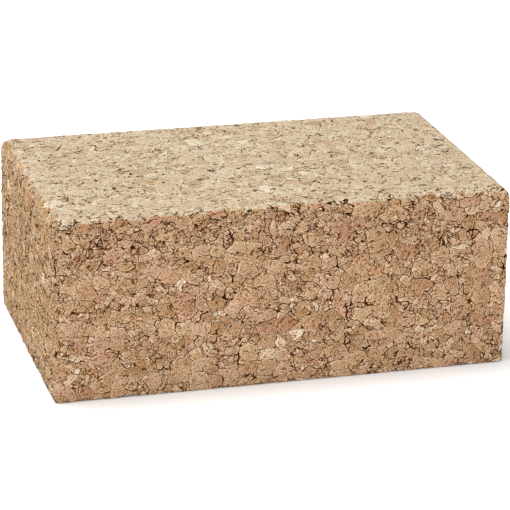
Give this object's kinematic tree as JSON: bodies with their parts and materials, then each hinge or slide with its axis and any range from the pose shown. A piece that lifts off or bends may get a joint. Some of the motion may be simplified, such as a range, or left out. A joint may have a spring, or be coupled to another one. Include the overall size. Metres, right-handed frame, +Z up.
{
  "type": "sanding block",
  "caption": "Plain cuboid hand sanding block of pressed cork granules, with a flat sole and softly rounded top edges.",
  "frame": {"origin": "middle of the sole, the flat underside that backs the abrasive paper", "axes": "+X along the block's length, +Y across its width, +Z up from the sole to the rounded top"},
  "size_m": [0.1, 0.06, 0.04],
  "materials": {
    "cork": "matte"
  },
  "bodies": {
    "root": {"cork_block": "cork"}
  },
  "joints": []
}
